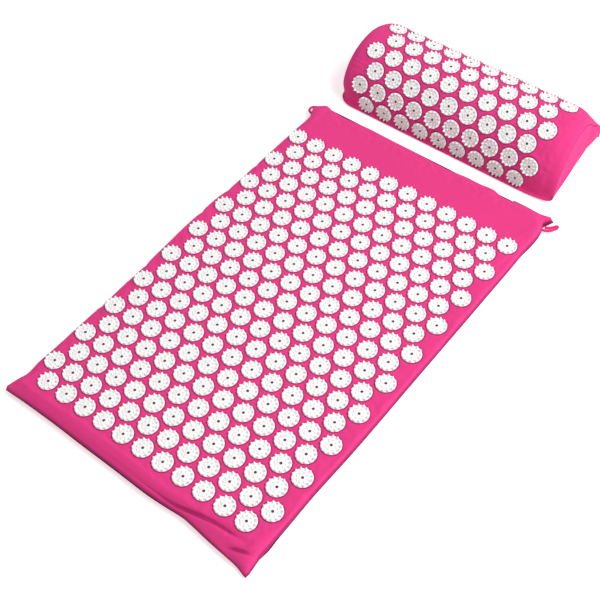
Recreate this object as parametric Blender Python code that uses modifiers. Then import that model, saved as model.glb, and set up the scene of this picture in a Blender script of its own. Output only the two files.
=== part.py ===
"""Acupressure mat with its half-round neck pillow.

The mat is a foam slab in a cotton cover of two panels, sewn at the edges and closed by a zip along
the far edge. The pillow is a half-round foam block in a cover of four panels, closed by a zip along
its back. Rows of round spiked discs cover the top panels of both.

Metres, +Z up. The origin is the centre of the mat's underside, +X runs across the mat and +Y runs
along it towards the pillow.
"""

import bpy
import bmesh
from math import acos, asin, atan2, cos, hypot, pi, radians, sin, sqrt
from mathutils import Matrix, Vector

# Cloth and clearances
CLOTH = 0.0010
GAP = 0.0003

# Mat: its outer size, and the way its cover rolls over at the edges
MAT_WIDTH = 0.400
MAT_LENGTH = 0.635
MAT_THICKNESS = 0.021
EDGE_ROLL = 0.009
EDGE_DRAW = 0.002
EDGE_DRAW_POWER = 6
CORNER_REACH = 0.038
CORNER_DROP_SHARE = 0.4
ROLL_STEPS = 3
FOAM_CORNER_STEPS = 6
SIDE_LINE_SHARE = 0.6
FLAT_ANGLE = radians(0.02)
FLATNESS = 0.000001
SMOOTH_ANGLE = radians(40)

# Discs: a thin plate with a crown of spikes, and the way they are set out
DISC_DIAMETER = 0.026
DISC_PLATE = 0.0014
SPIKE_HEIGHT = 0.0030
DISC_SIDES = 12
DISC_PITCH = 0.03175
ROW_PITCH = 0.0270
SIDE_MARGIN = 0.0252
NEAR_MARGIN = 0.042
FAR_MARGIN = 0.080
COUNT_SLACK_SHARE = 0.02

# Hanging loops of cord, in the seam at the tips of the two far corners
LOOP_CORD = 0.0025
LOOP_SPREAD = 0.0090
LOOP_REACH = 0.0140
LOOP_SEAT = 0.0050
LOOP_TURN = radians(45)
LOOP_BEND_STEPS = 8

# Pillow: outer size of its half-round section, and its place
PILLOW_LENGTH = 0.352
PILLOW_DEPTH = 0.147
PILLOW_HEIGHT = 0.082
PILLOW_WAIST = 0.013
PILLOW_SEAM_LIP = 0.002
PILLOW_END_BULGE = 0.008
PILLOW_END_RING_SHARES = ((0, 1), (0.2, 1), (0.5, 0.95), (0.85, 0.85), (1, 0.7))
PILLOW_MIDDLE_SHARE = 0.4
PILLOW_CORNER = 0.004
PILLOW_CORNER_STEPS = 3
PILLOW_BARE_BACK_STEPS = 3
PILLOW_SHIFT = -0.013
PILLOW_STAND_OFF = 0.038
PILLOW_ROWS = 7
PILLOW_ROW_DISCS = 9
PILLOW_FIRST_ROW_ANGLE = radians(1.8)

# Zips: tape, coil chain, stops, slider and pull tab
MAT_CHAIN_MARGIN = 0.0107
PILLOW_CHAIN_MARGIN = 0.034
ZIP_SLIT = 0.0092
TAPE = 0.0006
TAPE_LAP = 0.0035
CHAIN_SLOT = 0.0016
COIL_WIDTH = 0.0018
COIL_HEIGHT = 0.0014
COIL_ROUND = 0.0005
STOP_LENGTH = 0.0025
SLIDER_LENGTH = 0.0085
SLIDER_WALL = 0.0010
SLIDER_FLANGE = 0.0008
SLIDER_ROUND = 0.0005
SLIDER_POST_LENGTH = 0.0025
SLIDER_POST_WIDTH = 0.0010
BAIL_WIDTH = 0.0022
BAIL_BAR = 0.0008
PULL_THICKNESS = 0.0010
PULL_BAR = 0.0012
PULL_CLEARANCE = 0.0004
PULL_RIM = 0.0015
PULL_LENGTH = 0.0220
PULL_TIP_WIDTH = 0.0050
PULL_TIP_STEPS = 6

# Sizes that follow from those above
HALF_WIDTH = MAT_WIDTH / 2
HALF_LENGTH = MAT_LENGTH / 2
SEAM_HEIGHT = MAT_THICKNESS / 2
LINING = CLOTH + GAP
DISC_SINK = CLOTH / 2
CORNER_LINE = CORNER_REACH - EDGE_ROLL
WELD = GAP / 100
CHAIN_WIDTH = CHAIN_SLOT + 2 * COIL_WIDTH
CHANNEL_ROOF = 2 * GAP + COIL_HEIGHT
CHANNEL_SIDE = CHAIN_WIDTH / 2 + GAP
WING_TOP = CHANNEL_ROOF + SLIDER_WALL
WING_SIDE = CHANNEL_SIDE + SLIDER_FLANGE
TAPE_BACK = -TAPE - GAP
PULL_AXIS = WING_TOP + PULL_THICKNESS
BAR_REACH = hypot(PULL_BAR, PULL_THICKNESS) / 2 + PULL_CLEARANCE
BAIL_REACH = BAR_REACH + BAIL_BAR
BAIL_CUT = BAIL_BAR / 2
PILLOW_CENTRE = HALF_LENGTH + PILLOW_STAND_OFF + PILLOW_DEPTH / 2
ALONG_X = (radians(90), 0, radians(90))
ALONG_Y = (radians(90), 0, 0)


def new_collection(name):
    made = bpy.data.collections.new(name)
    bpy.context.scene.collection.children.link(made)
    return made


def new_material(name, colour, roughness, metallic=0.0):
    made = bpy.data.materials.new(name)
    made.use_nodes = True
    shader = made.node_tree.nodes["Principled BSDF"]
    shader.inputs["Base Color"].default_value = (*colour, 1.0)
    shader.inputs["Roughness"].default_value = roughness
    shader.inputs["Metallic"].default_value = metallic
    made.diffuse_color = (*colour, 1.0)
    return made


for old in list(bpy.data.objects):
    bpy.data.objects.remove(old, do_unlink=True)

PARTS = new_collection("acupressure_mat")
CUTTERS = new_collection("cutters")

COTTON = new_material("pink_cotton", (0.87, 0.05, 0.27), 0.85)
PLASTIC = new_material("white_plastic", (0.90, 0.90, 0.92), 0.35)
FOAM = new_material("cream_foam", (0.80, 0.76, 0.62), 0.95)
TAPE_CLOTH = new_material("pink_zip_tape", (0.70, 0.04, 0.22), 0.80)
NYLON = new_material("pink_nylon_coil", (0.75, 0.05, 0.25), 0.45)
METAL = new_material("nickel", (0.72, 0.72, 0.74), 0.30, 1.0)


def mesh_part(name, bm, *materials):
    """An object from a bmesh, which is freed"""
    mesh = bpy.data.meshes.new(name)
    bm.to_mesh(mesh)
    bm.free()
    for material in materials:
        mesh.materials.append(material)
    made = bpy.data.objects.new(name, mesh)
    PARTS.objects.link(made)
    return made


def as_cutter(obj):
    """Keep an object as a tool for a Boolean, out of the model"""
    for holder in list(obj.users_collection):
        holder.objects.unlink(obj)
    CUTTERS.objects.link(obj)
    obj.hide_render = True
    obj.display_type = "WIRE"
    return obj


def add_boolean(obj, tool, operation):
    modifier = obj.modifiers.new(tool.name, "BOOLEAN")
    modifier.operation = operation
    modifier.object = tool


def add_lining(obj):
    """Give an open surface the thickness of the cloth, inwards"""
    modifier = obj.modifiers.new("cloth", "SOLIDIFY")
    modifier.thickness = CLOTH
    modifier.offset = -1
    modifier.use_even_offset = True


def smooth_by_angle(obj):
    obj.data.shade_smooth()
    obj.data.set_sharp_from_angle(angle=SMOOTH_ANGLE)


def box_bmesh(low, high):
    """A box between two corners, from a unit cube"""
    bm = bmesh.new()
    low = Vector(low)
    high = Vector(high)
    size = Matrix.Diagonal((*(high - low), 1))
    bmesh.ops.create_cube(bm, size=1, matrix=Matrix.Translation((low + high) / 2) @ size)
    return bm


def new_holder(name, place, parent=None):
    """An empty that carries the pieces of one unit"""
    made = bpy.data.objects.new(name, None)
    made.location = place
    made.parent = parent
    PARTS.objects.link(made)
    return made


def prism(name, outline, start, end, rotation, material, holes=()):
    """A flat outline run from start to end along the normal of its turned plane"""
    curve = bpy.data.curves.new(name, "CURVE")
    curve.dimensions = "2D"
    curve.fill_mode = "BOTH"
    curve.extrude = (end - start) / 2
    for ring in (outline, *holes):
        spline = curve.splines.new("POLY")
        spline.points.add(len(ring) - 1)
        for point, (along, up) in zip(spline.points, ring):
            point.co = (along, up, 0, 1)
        spline.use_cyclic_u = True
    curve.materials.append(material)
    made = bpy.data.objects.new(name, curve)
    made.rotation_euler = rotation
    PARTS.objects.link(made)
    made.location = made.rotation_euler.to_matrix() @ Vector((0, 0, (start + end) / 2))
    return made


def as_mesh(obj):
    """The same piece as a closed mesh, ready for a Boolean"""
    bpy.context.view_layer.update()
    mesh = bpy.data.meshes.new_from_object(obj.evaluated_get(bpy.context.evaluated_depsgraph_get()))
    bm = bmesh.new()
    bm.from_mesh(mesh)
    bmesh.ops.remove_doubles(bm, verts=bm.verts, dist=WELD)
    bm.to_mesh(mesh)
    bm.free()
    name = obj.name
    place = obj.matrix_world.copy()
    bpy.data.objects.remove(obj, do_unlink=True)
    made = bpy.data.objects.new(name, mesh)
    made.matrix_world = place
    PARTS.objects.link(made)
    return made


def arc(centre, radius, first, last, steps):
    """Points on an arc, both ends included; radius may be a pair for an ellipse"""
    across, up = radius if isinstance(radius, tuple) else (radius, radius)
    angles = [first + (last - first) * step / steps for step in range(steps + 1)]
    return [(centre[0] + across * cos(a), centre[1] + up * sin(a)) for a in angles]


def offset_line(points, distance):
    """An open line of points moved square to itself, to its left"""
    points = [Vector(point) for point in points]
    runs = [(b - a).normalized() for a, b in zip(points, points[1:])]
    lefts = [Vector((-run.y, run.x)) for run in runs]
    moved = []
    for index, point in enumerate(points):
        before = lefts[max(index - 1, 0)]
        after = lefts[min(index, len(lefts) - 1)]
        mitre = (before + after) / (1 + before.dot(after))
        moved.append(tuple(point + mitre * distance))
    return moved


def ribbon(points, thickness):
    """Closed outline of a strip along an open line, its thickness to the line's left"""
    return list(points) + offset_line(points, thickness)[::-1]


# Mat cover

def grid_lines(length):
    """Lines of the cover's grid across one length: close together over the rolled edges"""
    half = length / 2
    insets = [EDGE_ROLL * (1 - cos(pi / 2 * step / ROLL_STEPS)) for step in range(ROLL_STEPS + 1)]
    insets += [CORNER_REACH / 2, CORNER_LINE]
    side = [half - inset for inset in insets] + [half * SIDE_LINE_SHARE]
    return [-place for place in side] + [0] + side[::-1]


def slit_angle():
    """Where on the rolled edge the cover's panels stop beside the zip"""
    return asin(ZIP_SLIT / 2 / SEAM_HEIGHT)


def roll_place(angle):
    """Inset from the edge and rise from the seam at an angle round the rolled edge"""
    return EDGE_ROLL * (1 - cos(angle)), SEAM_HEIGHT * sin(angle)


def cover_point(x, y, side):
    """A grid vertex laid on the cover's outer face; side is 1 for the top and -1 for the bottom"""
    inset_x = HALF_WIDTH - abs(x)
    inset_y = HALF_LENGTH - abs(y)
    angle = acos(1 - min(inset_x, inset_y, EDGE_ROLL) / EDGE_ROLL)
    beside_zip = y > 0 and inset_y <= EDGE_ROLL and inset_x >= CORNER_LINE - GAP
    if beside_zip:
        start = slit_angle()
        angle = start + (pi / 2 - start) * angle / (pi / 2)
        y = HALF_LENGTH - roll_place(angle)[0]
    short = max(0, 1 - (inset_x + inset_y) / CORNER_REACH)
    drop = 1 - CORNER_DROP_SHARE * short ** 2
    rise = roll_place(angle)[1] * drop
    draw_x = EDGE_DRAW * (1 - abs(y / HALF_LENGTH) ** EDGE_DRAW_POWER)
    draw_y = EDGE_DRAW * (1 - abs(x / HALF_WIDTH) ** EDGE_DRAW_POWER) if y < 0 else 0
    return Vector((x * (1 - draw_x / HALF_WIDTH), y * (1 - draw_y / HALF_LENGTH), SEAM_HEIGHT + side * rise))


def cover_surface(side):
    """The outer face of one of the mat's panels, as an open surface"""
    lines_x = grid_lines(MAT_WIDTH)
    lines_y = grid_lines(MAT_LENGTH)
    columns = len(lines_x) - 1
    rows = len(lines_y) - 1
    bm = bmesh.new()
    bmesh.ops.create_grid(bm, x_segments=columns, y_segments=rows, size=1)
    for vert in bm.verts:
        column = round((vert.co.x + 1) / 2 * columns)
        row = round((vert.co.y + 1) / 2 * rows)
        vert.co = cover_point(lines_x[column], lines_y[row], side)
    level = SEAM_HEIGHT * (1 + side)
    flat = [face for face in bm.faces if all(abs(vert.co.z - level) < FLATNESS for vert in face.verts)]
    bmesh.ops.dissolve_faces(bm, faces=flat, use_verts=True)
    bmesh.ops.connect_verts_nonplanar(bm, angle_limit=FLAT_ANGLE, faces=bm.faces)
    if side < 0:
        bmesh.ops.reverse_faces(bm, faces=bm.faces)
    return bm


# Spiked discs

def add_disc(bm, place):
    """One disc on a flat place: its back is sunk in the cloth, and spikes stand round its rim"""
    depth = DISC_SINK + DISC_PLATE
    made = bmesh.ops.create_cone(
        bm, cap_ends=True, cap_tris=True, segments=DISC_SIDES, depth=depth,
        radius1=DISC_DIAMETER / 2, radius2=DISC_DIAMETER / 2,
        matrix=Matrix.Translation((0, 0, depth / 2 - DISC_SINK)))
    for vert in made["verts"]:
        on_rim = hypot(vert.co.x, vert.co.y) > DISC_DIAMETER / 4
        corner = round(atan2(vert.co.y, vert.co.x) / (2 * pi) * DISC_SIDES)
        if on_rim and vert.co.z > 0 and corner % 2 == 0:
            vert.co.z = SPIKE_HEIGHT
    bmesh.ops.transform(bm, matrix=place, verts=made["verts"])


def row_places(count):
    """Places of a row of discs, spread evenly to both sides of zero"""
    return [(index - (count - 1) / 2) * DISC_PITCH for index in range(count)]


def count_along(length, pitch):
    """Discs at a pitch that a length holds, with one at each end"""
    return int(length / pitch + COUNT_SLACK_SHARE) + 1


def mat_discs():
    """The mat's rows of discs, one fewer in every other row"""
    full_row = count_along(MAT_WIDTH - 2 * SIDE_MARGIN, DISC_PITCH)
    rows = count_along(MAT_LENGTH - NEAR_MARGIN - FAR_MARGIN, ROW_PITCH)
    bm = bmesh.new()
    for row in range(rows):
        y = NEAR_MARGIN - HALF_LENGTH + row * ROW_PITCH
        for x in row_places(full_row - 1 + row % 2):
            add_disc(bm, Matrix.Translation((x, y, MAT_THICKNESS)))
    for face in bm.faces:
        face.material_index = 1
    return as_cutter(mesh_part("mat_discs", bm, COTTON, PLASTIC))


def seat_loop(made, side):
    """Put a piece made round a hanging loop's foot in its corner, pointing out of the tip"""
    out = Vector((side * sin(LOOP_TURN), cos(LOOP_TURN), 0))
    made.location = Vector((side * HALF_WIDTH, HALF_LENGTH, SEAM_HEIGHT)) - out * LOOP_SPREAD / 2
    made.rotation_euler.z = -side * LOOP_TURN


def loop_pocket(side):
    """The gap left in the corner seam for a hanging loop's two ends"""
    half_width = (LOOP_SPREAD + LOOP_CORD) / 2 + GAP
    half_height = LOOP_CORD / 2 + GAP
    pocket = box_bmesh((-half_width, -LOOP_SEAT - GAP, -half_height), (half_width, LOOP_SPREAD, half_height))
    name = "loop_pocket_right" if side > 0 else "loop_pocket_left"
    made = as_cutter(mesh_part(name, pocket, COTTON))
    seat_loop(made, side)
    return made


def seam_trim(side):
    """A block that levels a panel's rim, half a gap from the seam"""
    rim = SEAM_HEIGHT + side * GAP / 2
    beyond = SEAM_HEIGHT - side * SEAM_HEIGHT / 2
    low = (-MAT_WIDTH, -MAT_LENGTH, min(rim, beyond))
    high = (MAT_WIDTH, MAT_LENGTH, max(rim, beyond))
    name = "top_rim_trim" if side > 0 else "bottom_rim_trim"
    return as_cutter(mesh_part(name, box_bmesh(low, high), COTTON))


def mat_cover():
    """Top and bottom panels, with the discs fused to the top one"""
    pockets = [loop_pocket(side) for side in (-1, 1)]
    for name, side in (("mat_top_panel", 1), ("mat_bottom_panel", -1)):
        panel = mesh_part(name, cover_surface(side), COTTON, PLASTIC)
        smooth_by_angle(panel)
        add_lining(panel)
        add_boolean(panel, seam_trim(side), "DIFFERENCE")
        if side > 0:
            add_boolean(panel, mat_discs(), "UNION")
        for pocket in pockets:
            add_boolean(panel, pocket, "DIFFERENCE")


def mat_foam():
    """The foam slab, its corners rounded to clear the cover where that drops"""
    inset = EDGE_ROLL + EDGE_DRAW
    half_x = HALF_WIDTH - inset
    half_y = HALF_LENGTH - inset
    round_off = (CORNER_REACH / 2 - inset) / (1 - sqrt(0.5))
    outline = []
    for turn, (sign_x, sign_y) in enumerate(((1, 1), (-1, 1), (-1, -1), (1, -1))):
        centre = (sign_x * (half_x - round_off), sign_y * (half_y - round_off))
        outline += arc(centre, round_off, turn * pi / 2, (turn + 1) * pi / 2,
                       FOAM_CORNER_STEPS)
    prism("mat_foam_core", outline, LINING, MAT_THICKNESS - LINING, (0, 0, 0), FOAM)


def hanging_loop(name, side):
    """A cord bent double, its two ends held in the corner seam"""
    bend = LOOP_SPREAD / 2
    bend_at = LOOP_REACH - LOOP_CORD / 2 - bend
    route = [(bend, -LOOP_SEAT), (bend, bend_at / 2)]
    route += arc((0, bend_at), bend, 0, pi, LOOP_BEND_STEPS)
    route += [(-bend, bend_at / 2), (-bend, -LOOP_SEAT)]
    curve = bpy.data.curves.new(name, "CURVE")
    curve.dimensions = "3D"
    curve.bevel_depth = LOOP_CORD / 2
    curve.bevel_resolution = 2
    curve.use_fill_caps = True
    spline = curve.splines.new("POLY")
    spline.points.add(len(route) - 1)
    for point, (across, out) in zip(spline.points, route):
        point.co = (across, out, 0, 1)
    curve.materials.append(COTTON)
    made = bpy.data.objects.new(name, curve)
    seat_loop(made, side)
    PARTS.objects.link(made)


# Zips, each built round the middle of its chain, on the outer face of its tapes

def zip_tape(name, panel_edge, half_run, parent, up):
    """A tape from the chain's slot to behind the cloth's edge; up is 1 or -1"""
    rim, beyond = (Vector(point) for point in panel_edge)
    lapped = rim + (beyond - rim).normalized() * TAPE_LAP
    behind = offset_line([rim, lapped], LINING)
    line = [(0, CHAIN_SLOT / 2), (0, behind[0][1]), (behind[1][0] - behind[0][0], behind[1][1])]
    outline = [(y, up * z) for y, z in ribbon(line, TAPE)]
    prism(name, outline, -half_run, half_run, ALONG_X, TAPE_CLOTH).parent = parent


def zip_coil(name, half_chain, parent, up):
    """One side of the chain, a bead with its outer corners taken off"""
    low = CHAIN_SLOT / 2
    high = low + COIL_WIDTH
    top = GAP + COIL_HEIGHT
    outline = [(GAP, low), (top - COIL_ROUND, low), (top, low + COIL_ROUND),
               (top, high - COIL_ROUND), (top - COIL_ROUND, high), (GAP, high)]
    outline = [(y, up * z) for y, z in outline]
    prism(name, outline, -half_chain, half_chain, ALONG_X, NYLON).parent = parent


def zip_stop(name, start, low, high, parent):
    """A crimped stop just past the end of the chain"""
    bm = box_bmesh((start, GAP, low), (start + STOP_LENGTH, GAP + COIL_HEIGHT, high))
    mesh_part(name, bm, METAL).parent = parent


def zip_stops(prefix, half_chain, parent):
    """Two top stops at the closed end and one bottom stop across both coils"""
    inner = CHAIN_SLOT / 2
    outer = CHAIN_WIDTH / 2
    start = half_chain + GAP
    zip_stop(prefix + "_top_stop_upper", start, inner, outer, parent)
    zip_stop(prefix + "_top_stop_lower", start, -outer, -inner, parent)
    zip_stop(prefix + "_bottom_stop", -start - STOP_LENGTH, -outer, outer, parent)


def slider_channel():
    """Section of the outer wing: a plate over the chain with a flange down each side"""
    shoulder = WING_SIDE - SLIDER_ROUND
    return [(GAP, CHANNEL_SIDE), (GAP, WING_SIDE), (WING_TOP - SLIDER_ROUND, WING_SIDE), (WING_TOP, shoulder),
            (WING_TOP, -shoulder), (WING_TOP - SLIDER_ROUND, -WING_SIDE), (GAP, -WING_SIDE),
            (GAP, -CHANNEL_SIDE), (CHANNEL_ROOF, -CHANNEL_SIDE), (CHANNEL_ROOF, CHANNEL_SIDE)]


def slider_bail(name):
    """The arch over the slider that holds the pull tab's bar"""
    foot = WING_TOP - SLIDER_WALL / 2
    roof = PULL_AXIS + BAR_REACH
    top = PULL_AXIS + BAIL_REACH
    outline = [(-BAIL_REACH, foot), (-BAR_REACH, foot), (-BAR_REACH, roof), (BAR_REACH, roof),
               (BAR_REACH, foot), (BAIL_REACH, foot), (BAIL_REACH, top - BAIL_CUT),
               (BAIL_REACH - BAIL_CUT, top), (BAIL_CUT - BAIL_REACH, top), (-BAIL_REACH, top - BAIL_CUT)]
    return as_cutter(as_mesh(prism(name, outline, -BAIL_WIDTH / 2, BAIL_WIDTH / 2, (0, 0, 0), METAL)))


def zip_slider(name, parent):
    """Outer wing, inner wing and the post between them, in one piece with the bail"""
    half = SLIDER_LENGTH / 2
    body = as_mesh(prism(name, slider_channel(), -half, half, ALONG_X, METAL))
    wing = box_bmesh((-half, TAPE_BACK - SLIDER_WALL, -WING_SIDE), (half, TAPE_BACK, WING_SIDE))
    post = box_bmesh((half - SLIDER_POST_LENGTH, TAPE_BACK - SLIDER_WALL / 2, -SLIDER_POST_WIDTH / 2),
                     (half - SLIDER_WALL, WING_TOP - SLIDER_WALL / 2, SLIDER_POST_WIDTH / 2))
    wing_tool = as_cutter(mesh_part(name + "_inner_wing", wing, METAL))
    post_tool = as_cutter(mesh_part(name + "_post", post, METAL))
    add_boolean(wing_tool, post_tool, "UNION")
    bail_tool = slider_bail(name + "_bail")
    add_boolean(body, wing_tool, "UNION")
    add_boolean(body, bail_tool, "UNION")
    for piece in (body, wing_tool, post_tool, bail_tool):
        piece.parent = parent


def zip_pull(name, parent):
    """The pull tab, lying back along the chain, its end bar under the slider's bail"""
    window = hypot(BAIL_REACH, BAIL_REACH - BAIL_CUT) + PULL_CLEARANCE
    ring = BAIL_WIDTH / 2 + PULL_CLEARANCE
    half_ring = ring + PULL_RIM
    half_tip = PULL_TIP_WIDTH / 2
    bar = PULL_BAR / 2
    outline = [(bar, -half_ring), (bar, half_ring), (-window - PULL_RIM, half_ring)]
    outline += arc((half_tip - PULL_LENGTH, 0), half_tip, pi / 2, 3 * pi / 2, PULL_TIP_STEPS)
    outline += [(-window - PULL_RIM, -half_ring)]
    hole = [(-bar, -ring), (-bar, ring), (-window, ring), (-window, -ring)]
    made = prism(name, outline, -PULL_THICKNESS / 2, PULL_THICKNESS / 2, ALONG_Y, METAL, [hole])
    made.location.y = PULL_AXIS
    made.parent = parent


def build_zip(prefix, centre, upper_edge, lower_edge, half_run, half_chain, parent=None):
    """A closed zip along X: its slider rests at the +X end of the chain"""
    chain = new_holder(prefix, centre, parent)
    zip_tape(prefix + "_tape_upper", upper_edge, half_run, chain, 1)
    zip_tape(prefix + "_tape_lower", lower_edge, half_run, chain, -1)
    zip_coil(prefix + "_coil_upper", half_chain, chain, 1)
    zip_coil(prefix + "_coil_lower", half_chain, chain, -1)
    zip_stops(prefix, half_chain, chain)
    runner = new_holder(prefix + "_runner", (half_chain - SLIDER_LENGTH / 2, 0, 0), chain)
    zip_slider(prefix + "_slider", runner)
    zip_pull(prefix + "_pull", runner)


def mat_zip():
    """The zip in the mat's far edge, between the rims of its two panels"""
    angles = [slit_angle(), slit_angle() + (pi / 2 - slit_angle()) / ROLL_STEPS]
    edge = [(-roll_place(angle)[0], roll_place(angle)[1]) for angle in angles]
    face = offset_line(edge, LINING)[0][0]
    half_run = HALF_WIDTH - CORNER_LINE - GAP
    half_chain = half_run - MAT_CHAIN_MARGIN
    build_zip("mat_zip", (0, HALF_LENGTH + face, SEAM_HEIGHT), edge, edge, half_run, half_chain)


# Pillow, in its own frame: y from its middle line, z from the floor

def pillow_radii():
    return PILLOW_DEPTH / 2, PILLOW_HEIGHT - PILLOW_WAIST


def row_step():
    """Angle between rows round the pillow"""
    return ROW_PITCH / (sum(pillow_radii()) / 2)


def pillow_seat(angle):
    """A point of the pillow's section and the direction square to it, from the front round"""
    across, up = pillow_radii()
    point = Vector((-across * cos(angle), PILLOW_WAIST + up * sin(angle)))
    normal = Vector((-cos(angle) / across, sin(angle) / up)).normalized()
    return point, normal


def meet(first, second):
    """Where the flats at two seats meet"""
    (p, n), (q, m) = first, second
    cross = n.x * m.y - n.y * m.x
    along_n = p.dot(n)
    along_m = q.dot(m)
    return ((along_n * m.y - along_m * n.y) / cross, (n.x * along_m - m.x * along_n) / cross)


def pillow_section():
    """Outer line of the curved panel: a flat for each row of discs, then the bare back"""
    angles = [PILLOW_FIRST_ROW_ANGLE + row * row_step() for row in range(PILLOW_ROWS)]
    seats = [pillow_seat(angle) for angle in angles]
    first, normal = seats[0]
    foot = CLOTH + GAP
    line = [(first.x + (first.y - foot) * normal.y / normal.x, foot)]
    line += [meet(a, b) for a, b in zip(seats, seats[1:])]
    across, up = pillow_radii()
    bare = angles[-1] + row_step() / 2
    last = pi - asin(ZIP_SLIT / 2 / up)
    steps = PILLOW_BARE_BACK_STEPS
    for step in range(steps + 1):
        point, _ = pillow_seat(bare + (last - bare) * step / steps)
        line.append(tuple(point))
    return line


def base_section():
    """Outer line of the base panel: up the back to the zip, and along the floor to the front seam"""
    back = pillow_section()[-1][0]
    corner = PILLOW_CORNER
    line = [(back, PILLOW_WAIST - ZIP_SLIT / 2)]
    line += arc((back - corner, corner), corner, 0, -pi / 2, PILLOW_CORNER_STEPS)
    line += [(-PILLOW_DEPTH / 2 - PILLOW_SEAM_LIP, 0)]
    return line


def run_surface(line, half):
    """An open line of the section run along X"""
    bm = bmesh.new()
    near, far = ([bm.verts.new((x, y, z)) for y, z in line] for x in (-half, half))
    for index in range(len(line) - 1):
        bm.faces.new((near[index], far[index], far[index + 1], near[index + 1]))
    bmesh.ops.recalc_face_normals(bm, faces=bm.faces)
    return bm


def pillow_discs(parent):
    """The pillow's rows of discs, each square to the flat that it sits on"""
    bm = bmesh.new()
    for row in range(PILLOW_ROWS):
        point, normal = pillow_seat(PILLOW_FIRST_ROW_ANGLE + row * row_step())
        up = Vector((0, normal.x, normal.y))
        side = up.cross(Vector((1, 0, 0)))
        turn = Matrix((Vector((1, 0, 0)), side, up)).transposed().to_4x4()
        for x in row_places(PILLOW_ROW_DISCS + row % 2):
            add_disc(bm, Matrix.Translation((x, point.x, point.y)) @ turn)
    for face in bm.faces:
        face.material_index = 1
    made = as_cutter(mesh_part("pillow_discs", bm, COTTON, PLASTIC))
    made.parent = parent
    return made


def pillow_panels(parent):
    """The curved panel with its discs, and the base panel that turns up at the back"""
    half = PILLOW_LENGTH / 2
    curved = mesh_part("pillow_top_panel", run_surface(pillow_section(), half), COTTON, PLASTIC)
    base = mesh_part("pillow_base_panel", run_surface(base_section(), half), COTTON)
    for panel in (curved, base):
        add_lining(panel)
        smooth_by_angle(panel)
        panel.parent = parent
    add_boolean(curved, pillow_discs(parent), "UNION")


def pillow_end(name, side, parent):
    """An end panel: the section's outline, bulging to a flat in shrinking rings"""
    outline = pillow_section() + base_section()[:-1]
    middle = PILLOW_HEIGHT * PILLOW_MIDDLE_SHARE
    bm = bmesh.new()
    loops = []
    for out, scale in PILLOW_END_RING_SHARES:
        x = side * (PILLOW_LENGTH / 2 + GAP + out * PILLOW_END_BULGE)
        loops.append([bm.verts.new((x, y * scale, middle + (z - middle) * scale)) for y, z in outline])
    count = len(outline)
    for first, second in zip(loops, loops[1:]):
        for index in range(count):
            after = (index + 1) % count
            bm.faces.new((first[index], first[after], second[after], second[index]))
    bm.faces.new(loops[-1])
    bmesh.ops.recalc_face_normals(bm, faces=bm.faces)
    made = mesh_part(name, bm, COTTON)
    add_lining(made)
    made.parent = parent


def cut_at(line, limit):
    """The start of a line, as far as its first coordinate stays under a limit"""
    kept = []
    for start, end in zip(line, line[1:]):
        kept.append(start)
        if end[0] > limit:
            share = (limit - start[0]) / (end[0] - start[0])
            return kept + [(limit, start[1] + (end[1] - start[1]) * share)]
    return kept


def pillow_foam(parent):
    """The half-round foam block, cut flat at the back where the zip runs"""
    inside = offset_line(pillow_section(), -LINING)
    back = pillow_section()[-1][0] - LINING + TAPE_BACK - SLIDER_WALL - GAP
    outline = [(inside[0][0], LINING)] + cut_at(inside, back)[1:] + [(back, LINING)]
    half = PILLOW_LENGTH / 2
    made = prism("pillow_foam_core", outline, -half, half, ALONG_X, FOAM)
    made.parent = parent


def pillow_zip(parent):
    """The zip along the pillow's back, between the curved panel and the base panel"""
    section = pillow_section()
    rim = section[-1][0]
    upper = [(y - rim, z - PILLOW_WAIST) for y, z in (section[-1], section[-2])]
    lower = [(0, ZIP_SLIT / 2), (0, ZIP_SLIT)]
    half_run = PILLOW_LENGTH / 2
    centre = (0, rim - LINING, PILLOW_WAIST)
    build_zip("pillow_zip", centre, upper, lower, half_run, half_run - PILLOW_CHAIN_MARGIN, parent)


def build_mat():
    mat_cover()
    mat_foam()
    hanging_loop("mat_loop_left", -1)
    hanging_loop("mat_loop_right", 1)
    mat_zip()


def build_pillow():
    pillow = new_holder("pillow", (PILLOW_SHIFT, PILLOW_CENTRE, 0))
    pillow_panels(pillow)
    pillow_end("pillow_end_left", -1, pillow)
    pillow_end("pillow_end_right", 1, pillow)
    pillow_foam(pillow)
    pillow_zip(pillow)


build_mat()
build_pillow()
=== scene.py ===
"""Looks of the acupressure mat and its neck pillow: pink cotton covers over foam, rows of white
spiked discs, cord loops at the mat's far corners, and zips in the far edge and the pillow's back.

Lengths are in metres. A name that ends in _RAMP holds the two values between which something
grows from nothing to its full size."""

from math import asin, ceil, cos, hypot, pi, radians, sin, sqrt

import bpy
import numpy as np
from mathutils import Matrix, Vector, noise


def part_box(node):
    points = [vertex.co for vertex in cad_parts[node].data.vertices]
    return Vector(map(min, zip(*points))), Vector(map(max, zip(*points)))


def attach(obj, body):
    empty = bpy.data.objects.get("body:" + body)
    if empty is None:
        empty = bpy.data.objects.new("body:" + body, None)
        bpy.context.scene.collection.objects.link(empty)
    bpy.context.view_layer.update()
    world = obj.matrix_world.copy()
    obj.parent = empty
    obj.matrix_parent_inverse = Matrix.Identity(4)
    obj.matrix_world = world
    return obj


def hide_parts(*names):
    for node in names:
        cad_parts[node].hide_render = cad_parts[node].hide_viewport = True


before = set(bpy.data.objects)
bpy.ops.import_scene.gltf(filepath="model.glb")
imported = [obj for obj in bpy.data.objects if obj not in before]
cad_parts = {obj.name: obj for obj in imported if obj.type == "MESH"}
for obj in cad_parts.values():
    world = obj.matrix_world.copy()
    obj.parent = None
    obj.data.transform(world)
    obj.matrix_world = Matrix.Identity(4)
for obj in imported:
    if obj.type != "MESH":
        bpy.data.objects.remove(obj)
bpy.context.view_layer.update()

# Camera, matched to the photograph
CAMERA_PLACE = (0.6474, -0.7057, 1.2274)
CAMERA_TURN = (radians(38.305), radians(2.659), radians(38.382))
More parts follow.
